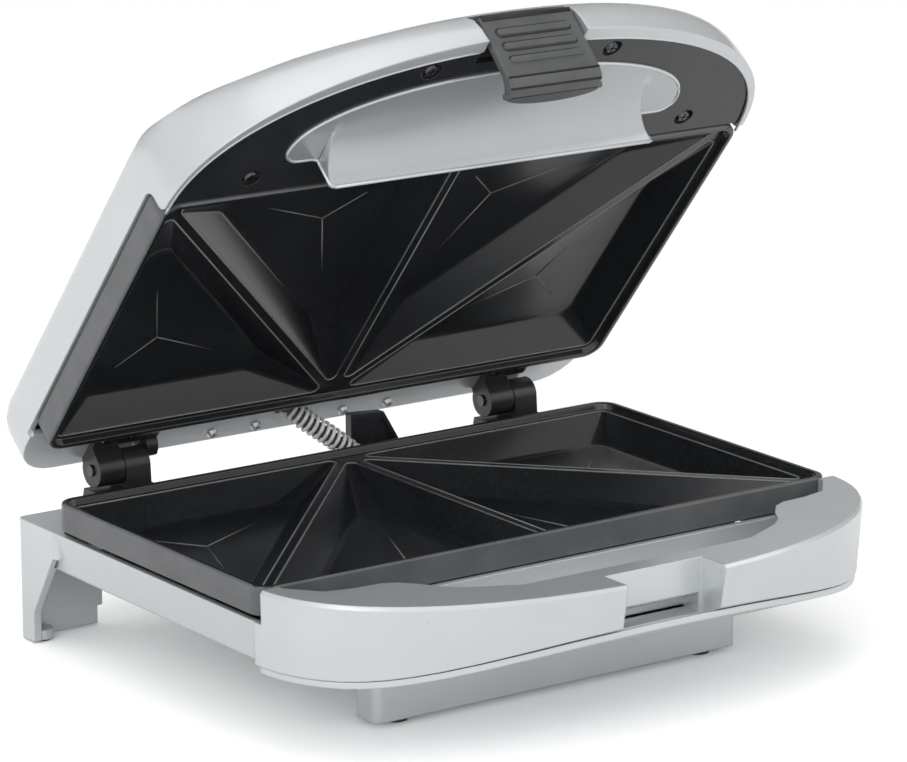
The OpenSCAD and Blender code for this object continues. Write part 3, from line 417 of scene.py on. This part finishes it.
def pockets():
    """The four triangles that the plate's top is cut into, counter-clockwise."""
    w, yb, yf = PLATE_W / 2 - LIP, -LIP, -PLATE_D + LIP
    for side in (1, -1):
        for tri in (((side * w, yb), (side * w, yf), (0, yb)), ((0, yb), (side * w, yf), (0, yf))):
            area = sum(tri[i][0] * tri[(i + 1) % 3][1] - tri[(i + 1) % 3][0] * tri[i][1] for i in range(3))
            yield tri[::-1] if area < 0 else tri


def pocket_loop(tri, inset, z, r):
    """Loop inside a pocket's triangle with corners of radius r, and the pocket's centre."""
    corners, m = tri_inset(*tri, inset)
    return [(x, y, z) for x, y in rounded([tuple(q) for q in corners], r, 9)], m


# Faces of the plate's skirt and rim edge, which take the lighter grey of painted reflection.
def on_painted_skirt(f):
    x, y = abs(f.center.x / MM), f.center.y / MM
    if x > PLATE_W / 2 - 0.7 or y > -0.7 or y < 0.7 - PLATE_D:
        return True
    return x > PLATE_W / 2 - 7 and f.normal.z < 0.5 and (y < 7 - PLATE_D or y > -7)


def make_plate(name, place):
    s = Shell()
    loops = [s.loop(plate_loop(*q)) for q in SKIRT]
    for a, b in zip(loops, loops[1:]):
        s.join(a, b)
    borders = [loops[-1]]
    for tri in pockets():
        rings = []
        for d, z in WALL:
            r = 2.2 + 4.6 * max(0, d) / WALL_RUN
            pts, m = pocket_loop(tri, RIDGE_HALF + d + r, z - LIP, r)
            rings.append(s.loop(pts))
        for a, b in zip(rings, rings[1:]):
            s.join(a, b)
        borders.append(rings[0])
        s.cap(rings[-1], (m.x, m.y, POCKET_DEEP))
    obj = s.mesh(name, "nonstick")
    bm = bmesh.new()
    bm.from_mesh(obj.data)
    bm.verts.ensure_lookup_table()
    edges = []
    for ring in borders:
        for i in range(len(ring)):
            edges.append(bm.edges.get((bm.verts[ring[i]], bm.verts[ring[(i + 1) % len(ring)]])))
    bmesh.ops.triangle_fill(bm, use_beauty=True, use_dissolve=False, edges=[e for e in edges if e])
    bmesh.ops.recalc_face_normals(bm, faces=bm.faces)
    if max(bm.faces, key=lambda f: f.calc_area()).normal.z < 0:
        bmesh.ops.reverse_faces(bm, faces=bm.faces)
    for f in bm.faces:
        f.smooth = True
    bm.to_mesh(obj.data)
    bm.free()
    # The skirt faces get the lighter grey: painted reflection.
    obj.data.materials.append(MATS["skirt_painted_reflection"])
    for f in obj.data.polygons:
        if on_painted_skirt(f):
            f.material_index = 1
    obj.data.transform(place)
    obj.modifiers.new("weighted", "WEIGHTED_NORMAL").keep_sharp = True
    return obj


def make_plate_highlights(name, place, body):
    """Thin lighter lines painted as highlights round the pockets, at the creases of their floors and on the plate's
    rim.
    """
    edge, crease, rim = 0.3, 0.26, 0.42
    s = Shell()
    for tri in pockets():
        ring, m = pocket_loop(tri, RIDGE_HALF + 2.2, -LIP - 0.12, 2.2)
        s.tube(ring + ring[:1], edge, 6)
        for q in tri_inset(*tri, 14)[0]:
            e = m + (q - m) * 0.6
            s.tube([(m.x, m.y, POCKET_DEEP + 0.05), (e.x, e.y, POCKET_DEEP + 0.93)], crease, 6)
    ring = plate_loop(0.55, -0.62, 6.35)
    s.tube(ring + ring[:1], rim, 6)
    obj = s.mesh(name, "painted_highlight_lines")
    obj.data.transform(place)
    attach(obj, body)


low = make_plate("plate_lower", LOWER_PLATE)
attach(low, "base")
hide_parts("lower_plate")
high = make_plate("plate_upper", UPPER_PLATE)
high.data.flip_normals()
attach(high, "lid")
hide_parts("upper_plate")

# ---- conduit: a wire coil round a sleeve of leads, on a curve from base to lid -----
G0 = Vector((17, PLATE_Y + 10, TRAY))
G3 = turn_lid((-11, PLATE_Y + 9, DECK))
CHORD = (G3 - G0) / 3
G1 = G0 + CHORD * 0.8 + Vector((0, 0, 3))
G2 = G3 - CHORD * 0.8 + (turn_lid((-11, PLATE_Y + 9, DECK - 1)) - G3) * 3
COIL_D, WIRE_D, TURNS = 8.2, 1.3, 15
LEAD = 0.03  # share of the line left straight at each end
COIL_R = (COIL_D - WIRE_D) / 2
TURN_STEPS = 20


def line_at(t):
    q = 1 - t
    return G0 * q ** 3 + G1 * 3 * t * q * q + G2 * 3 * t * t * q + G3 * t ** 3


def line_dir(t):
    q = 1 - t
    return ((G1 - G0) * 3 * q * q + (G2 - G1) * 6 * q * t + (G3 - G2) * 3 * t * t).normalized()


def make_coil():
    def around(t, a):
        """The wire's middle at t of the line and angle a round it."""
        d = line_dir(t)
        u = d.cross(Vector((0, 1, 0))).normalized()
        return line_at(t) + (u * math.cos(a) + d.cross(u) * math.sin(a)) * COIL_R

    steps = TURNS * TURN_STEPS
    pts = [around(LEAD + (1 - 2 * LEAD) * i / steps, 2 * math.pi * i / TURN_STEPS) for i in range(steps + 1)]
    s = Shell()
    s.tube([around(0, 0)] + pts + [around(1, 0)], WIRE_D / 2, 8)
    return s.mesh("coil", "spring_steel")


def make_sleeve():
    ts = [i / 40 for i in range(41)]
    s = Shell()
    s.tube([line_at(t) for t in ts], COIL_R - WIRE_D / 2 - 0.5, 20, [line_dir(t) for t in ts])
    return s.mesh("sleeve", "sleeve")


CONDUIT = ((make_coil(), "conduit_spring", "spring_steel"), (make_sleeve(), "conduit_sleeve", "sleeve"))
for obj, node, slot_name in CONDUIT:
    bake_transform(obj)
    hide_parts(node)

make_plate_highlights("highlight_lines_lower", LOWER_PLATE, "base")
make_plate_highlights("highlight_lines_upper", UPPER_PLATE, "lid")

# ---- grip ---------------------------------------------------------------------
GRIP_HW, EAR_HW = 64.0, 78.4
EAR_FROM, EAR_R, EAR_DEEP = 72.0, 6.4, 5.5  # the ears' round back corners
GRIP_SIDE_Y = PLATE_FRONT - 19.5
GRIP_EDGE_Y = PLATE_FRONT - 12.3
GRIP_Z, GRIP_DROP = RIM + 0.5, 10.9
BOW_POWER = 2.1
SWEEP = math.radians(80)  # the cove's arc, from level to near vertical
FLAT_ROWS, ROWS = 3, 22
LEAN_FROM, LEAN_IN, LEAN_OUT = 50.0, 4.8, 6.4


def grip_front(x):
    return GRIP_SIDE_Y - 27.9 * max(0.0, 1 - (abs(x) / EAR_HW) ** BOW_POWER) ** (1 / BOW_POWER)


def grip_back(x):
    q = max(0.0, abs(x) - EAR_FROM) / EAR_R
    return PLATE_FRONT - 14 - EAR_DEEP * (1 - math.sqrt(max(0.0, 1 - q * q)))


def grip_shift(x, k):
    """The grip's right end leans: in at its rim, where k is 0, and out at its thin edge, where k is 1."""
    if x < LEAN_FROM:
        return x
    if in_cove(x):
        return x + (x - LEAN_FROM) / (GRIP_HW - LEAN_FROM) * (LEAN_OUT * k - LEAN_IN)
    near = GRIP_HW + 0.1
    return near - LEAN_IN + (x - near) * (EAR_HW - near + LEAN_IN) / (EAR_HW - near)


def in_cove(x):
    return abs(x) <= GRIP_HW + 0.01


def grip_column(x):
    """Depth and height of the grip's face at x, from its front outline to its back one."""
    xf = grip_shift(x, 0)
    y0 = grip_front(xf)
    if not in_cove(x):
        return [(y0 + (grip_back(xf) - y0) * j / ROWS, GRIP_Z) for j in range(ROWS + 1)]
    start = max(y0 + 2.2, GRIP_EDGE_Y - 29)
    col = [(y0 + (start - y0) * j / FLAT_ROWS, GRIP_Z) for j in range(FLAT_ROWS)]
    for j in range(ROWS - FLAT_ROWS + 1):
        a = SWEEP * j / (ROWS - FLAT_ROWS)
        col.append((start + (GRIP_EDGE_Y - start) * math.sin(a) / math.sin(SWEEP),
                    GRIP_Z - GRIP_DROP * (1 - math.cos(a)) / (1 - math.cos(SWEEP))))
    return col


def make_grip():
    """Hand grip: a shallow cove from its front outline down to a thin straight edge, with a bead all round."""
    s = Shell()
    ear = [EAR_HW * math.sin(math.pi / 2 * i / 14) for i in range(15)]
    half = [v for v in ear if v > GRIP_HW + 1] + [EAR_HW - 0.01, GRIP_HW + 0.3]
    xs = sorted({round(v, 3) for v in [GRIP_HW * i / 24 for i in range(-24, 25)] + half + [-v for v in half]})
    loops = []
    for x in xs:
        face = [(grip_shift(x, (GRIP_Z - z) / GRIP_DROP), y, z) for y, z in grip_column(x)]
        steps = [0] + [1.2 if in_cove(x) else 0] * ROWS
        rear = [(px, y + step, z + 1.8) for (px, y, z), step in zip(face, steps)]
        loops.append(s.loop(face + rear[::-1]))
    for a, b in zip(loops, loops[1:]):
        for i in range(len(a)):
            k = (i + 1) % len(a)
            s.f.append([a[i], b[i], b[k], a[k]])
    s.f += [loops[0], loops[-1]]
    # The grip gets the darker silver copy: painted shade.
    lid_piece("grip", s, "silver_grip_painted_shade", "lid", "lid_grip", 50)

    arc = [math.pi / 2 * i / 44 for i in range(45)]
    power = 2 / BOW_POWER
    rim = [(77.9 * math.sin(t) ** power, GRIP_SIDE_Y - 27.4 * math.cos(t) ** power, GRIP_Z) for t in arc]
    rim += [(EAR_FROM + 5.9 * math.cos(t), GRIP_SIDE_Y + 5.2 * math.sin(t), GRIP_Z) for t in arc[4::8]]
    near = (GRIP_HW + 3.0, PLATE_FRONT - 14.3, GRIP_Z)
    down = [(GRIP_HW + 0.4, PLATE_FRONT - 13.7, GRIP_Z - 0.3), (GRIP_HW, PLATE_FRONT - 13.0, GRIP_Z - 2.5),
            (GRIP_HW - 0.1, PLATE_FRONT - 12.5, GRIP_Z - GRIP_DROP + 1.2),
            (GRIP_HW - 1.3, PLATE_FRONT - 12.4, GRIP_Z - GRIP_DROP)]
    left = [(-x, y, z) for x, y, z in rim + [near] + down]
    right = rim + [(62.4, near[1], near[2])]
    right += [(grip_shift(GRIP_HW, (GRIP_Z - z) / GRIP_DROP) + x - GRIP_HW, y, z) for x, y, z in down]
    line = Shell()
    line.tube([(x, y, z + 0.28) for x, y, z in left[::-1] + right[1:] + [left[-1]]], 0.65, 8)
    lid_piece("grip_bead", line, "silver_shell", "lid")


# ---- latch --------------------------------------------------------------------
LATCH_HW = 18.2
BAR_HW, BAR_R = 13.0, 1.35
# The bars' heights over the rim and where the latch's face is at each.
BARS = [(z, BAND_FRONT + 2.3 - z * 0.11) for z in (3.8, -1.6, -6.9)]


def bar_outline(radius, phase):
    """Long round outline of a bar, as x and height, its points turned on by this share of a step."""
    out = []
    for i in range(32):
        a = 2 * math.pi * (i + phase) / 32
        c = math.cos(a)
        out.append(((BAR_HW if c >= 0 else -BAR_HW) + radius * c, radius * math.sin(a)))
    return out


def make_latch():
    """Latch flap: a bowed plate with three raised bars, two folds and a lip with a curved end."""
    s = Shell()

    def section(x, t):
        """Outline at x; t thins it at the ends."""
        ye = max(9.9, 9.2 + 4.4 * math.sqrt(max(0.0, 1 - (x / (LATCH_HW + 0.6)) ** 2)))
        return [(x, BAND_FRONT + y, RIM + z) for y, z in [
            (1.1 + t, 10.5), (1.3 + t, 9.2), (2.3 + t, 0), (3.25 + t, -9.6), (3.55 + t, -12.6), (4.1 + t, -12.95),
            (3.7 + t, -13.4), (4.3 + t * 0.7, -14.9), (5.3 + t * 0.6, -16.2), (5.9, -16.0 + t), (6.1, -16.75 + t),
            (7.6, -17.1 + t), (8.9, -17.35 + t), (9.2, -17.0 + t), (9.5, -17.35 + t), (ye - 0.4, -17.4 + t),
            (ye, -17.1 + t), (ye, -16.3), (ye - 0.4, -15.9), (9.4, -15.0), (7.4, -13.0), (6.1, -10.5),
            (4.8, 0.6), (4.2, 10.2), (3.9, 10.5)]]

    half = [(LATCH_HW, 0.5), (LATCH_HW - 0.15, 0.22), (LATCH_HW - 0.5, 0.0)]
    cuts = [(-x, t) for x, t in half] + [((LATCH_HW - 1.2) * i / 12, 0.0) for i in range(-12, 13)] + half[::-1]
    rings = [s.loop(section(x, t)) for x, t in cuts]
    for a, b in zip(rings, rings[1:]):
        s.join(a, b)
    s.f += [rings[0][::-1], rings[-1]]
    for z, y in BARS:
        rings = []
        for k, h in ((1.0, 0.6), (1.0, -0.45), (0.86, -0.8), (0.5, -0.95)):
            rings.append(s.loop([(x, y + h, RIM + z + w) for x, w in bar_outline(BAR_R * k, 0)]))
        for a, b in zip(rings, rings[1:]):
            s.join(a, b)
        s.f += [rings[-1], rings[0][::-1]]
    turns = [2 * math.pi * i / 24 for i in range(24)]
    rings = []
    for x, r in ((-LATCH_HW, 1.56), (-LATCH_HW, 2.95), (LATCH_HW, 2.95), (LATCH_HW, 1.56)):
        rings.append(s.loop([(x, BAND_FRONT + 6.4 + r * math.cos(a), RIM + 6.6 + r * math.sin(a)) for a in turns]))
    for i in range(4):
        s.join(rings[i], rings[(i + 1) % 4])
    for q in (-1, 1):
        s.tube([(q * (LATCH_HW + e), BAND_FRONT + 9.2, RIM - 16.3) for e in (-1.2, 0.9)], 1.1, 16)
    lid_piece("latch_flap", s, "latch_plastic", "latch", "latch", 35)


def make_trim_fill():
    """Closes the trim's opening behind the grip's round ears."""
    s = Shell()
    for x0, x1 in ((-79, -57), (57, 79)):
        s.box(x0, x1, PLATE_FRONT - 24, PLATE_FRONT - 13, RIM + 1.06, RIM + 1.9)
    lid_piece("trim_fill", s, "dark_trim", "lid")


def make_latch_painted_shade():
    """Black strips painted as shade in the grooves round the bars, at the folds and along the top of the latch."""
    s = Shell()
    for z, y in BARS:
        a, b = (s.loop([(x, y + h - w * 0.11, RIM + z + w) for x, w in bar_outline(1.85, 0.5)])
                for h in (0.3, -0.07))
        s.join(a, b)
        s.f.append(b)
    s.box(-17.6, 17.6, BAND_FRONT + 1.02, BAND_FRONT + 1.6, RIM + 8.9, RIM + 10.3)
    for y, z in ((3.62, -13.0), (5.55, -16.3), (9.2, -17.15)):
        s.tube([(x, BAND_FRONT + y, RIM + z) for x in (-17.9, 17.9)], 0.28, 8)
    # These near-black strips are painted groove shade.
    lid_piece("latch_painted_shade", s, "black_plastic", "latch")


def make_lid_lip(name, side):
    """Fine bead on one half of the lid's inner edge; the latch's opening parts the halves."""
    opening, half_w, deep, power = 20.4, 115.2, 62.6, 2 / 2.17
    path = []
    for i in range(121):
        t = math.pi * i / 120
        c, q = math.cos(t), math.sin(t)
        x = math.copysign(half_w * abs(c) ** power, c)
        if x * side > opening:
            path.append(turn_lid((x, BAND_MID - deep * max(0.0, q) ** power, RIM + 0.45)))
    s = Shell()
    s.tube(path, 0.5, 8)
    obj = s.mesh(name, "silver_shell")
    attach(obj, "lid")


make_grip()
make_latch()
make_trim_fill()
make_latch_painted_shade()
make_lid_lip("lid_lip_right", 1)
make_lid_lip("lid_lip_left", -1)


# ---- floor and light ------------------------------------------------------
def make_floor():
    """White ground that keeps the object's shadow and fades to plain white further out."""
    half = 6.0
    near, far = 0.14, 0.34  # metres from the middle between which it fades
    me = bpy.data.meshes.new("floor")
    me.from_pydata([(-half, -half, 0), (half, -half, 0), (half, half, 0), (-half, half, 0)], [], [(0, 1, 2, 3)])
    obj = bpy.data.objects.new("floor", me)
    bpy.context.scene.collection.objects.link(obj)
    m = bpy.data.materials.new("floor")
    m.use_nodes = True
    t = m.node_tree
    t.nodes.remove(t.nodes["Principled BSDF"])
    ground = add_node(t, "ShaderNodeBsdfDiffuse")
    glow = add_node(t, "ShaderNodeEmission")
    where = add_node(t, "ShaderNodeTexCoord")
    span = add_node(t, "ShaderNodeVectorMath", operation="LENGTH")
    fade = add_node(t, "ShaderNodeMapRange", {"From Min": near, "From Max": far, "To Min": 0.05},
                    interpolation_type="SMOOTHSTEP")
    path = add_node(t, "ShaderNodeLightPath")
    pale = add_node(t, "ShaderNodeMapRange", {"To Min": 0.9, "To Max": 1.42})
    seen = add_node(t, "ShaderNodeMath", operation="MAXIMUM")
    both = add_node(t, "ShaderNodeMath", operation="MULTIPLY")
    mix = add_node(t, "ShaderNodeMixShader")
    for a, b in ((where.outputs["Object"], span.inputs[0]), (span.outputs["Value"], fade.inputs["Value"]),
                 (path.outputs["Is Camera Ray"], pale.inputs["Value"]),
                 (pale.outputs["Result"], ground.inputs["Color"]),
                 (path.outputs["Is Camera Ray"], seen.inputs[0]), (path.outputs["Is Glossy Ray"], seen.inputs[1]),
                 (fade.outputs["Result"], both.inputs[0]), (seen.outputs[0], both.inputs[1]),
                 (both.outputs[0], mix.inputs["Fac"]), (ground.outputs[0], mix.inputs[1]),
                 (glow.outputs[0], mix.inputs[2]), (mix.outputs[0], t.nodes["Material Output"].inputs["Surface"])):
        t.links.new(a, b)
    me.materials.append(m)


def make_world(light):
    """Light from all round, light[0] behind the object and light[1] near the camera, which sees plain white."""
    w = bpy.data.worlds.new("world")
    bpy.context.scene.world = w
    w.use_nodes = True
    t = w.node_tree
    bg = t.nodes["Background"]
    bg.inputs["Color"].default_value = (1, 1, 1, 1)
    where = add_node(t, "ShaderNodeTexCoord")
    side = add_node(t, "ShaderNodeVectorMath", {1: (-0.62, -0.76, 0.18)}, operation="DOT_PRODUCT")
    span = add_node(t, "ShaderNodeMapRange", {"From Min": -1, "To Min": light[0], "To Max": light[1]})
    white = add_node(t, "ShaderNodeBackground", {"Color": (1, 1, 1, 1), "Strength": 1.0})
    path = add_node(t, "ShaderNodeLightPath")
    mix = add_node(t, "ShaderNodeMixShader")
    for a, b in ((where.outputs["Generated"], side.inputs[0]), (side.outputs["Value"], span.inputs["Value"]),
                 (span.outputs["Result"], bg.inputs["Strength"]), (path.outputs["Is Camera Ray"], mix.inputs["Fac"]),
                 (bg.outputs[0], mix.inputs[1]), (white.outputs[0], mix.inputs[2]),
                 (mix.outputs[0], t.nodes["World Output"].inputs["Surface"])):
        t.links.new(a, b)


def softbox(name, pos, aim, size, power):
    data = bpy.data.lights.new(name, "AREA")
    data.shape = "RECTANGLE"
    data.size, data.size_y = size
    data.energy = power
    obj = bpy.data.objects.new(name, data)
    bpy.context.scene.collection.objects.link(obj)
    obj.location = pos
    obj.rotation_euler = (Vector(aim) - Vector(pos)).to_track_quat("-Z", "Y").to_euler()


make_floor()
make_world((0.32, 1.12))
softbox("top", (-0.1, 0.1, 1.5), (0, 0, 0.05), (1.6, 1.2), 3)
softbox("left", (-1.5, -0.7, 0.9), (0, 0, 0.1), (0.8, 1.2), 5)
softbox("right", (1.3, -1.0, 0.8), (0, 0, 0.1), (0.8, 1.0), 2.5)
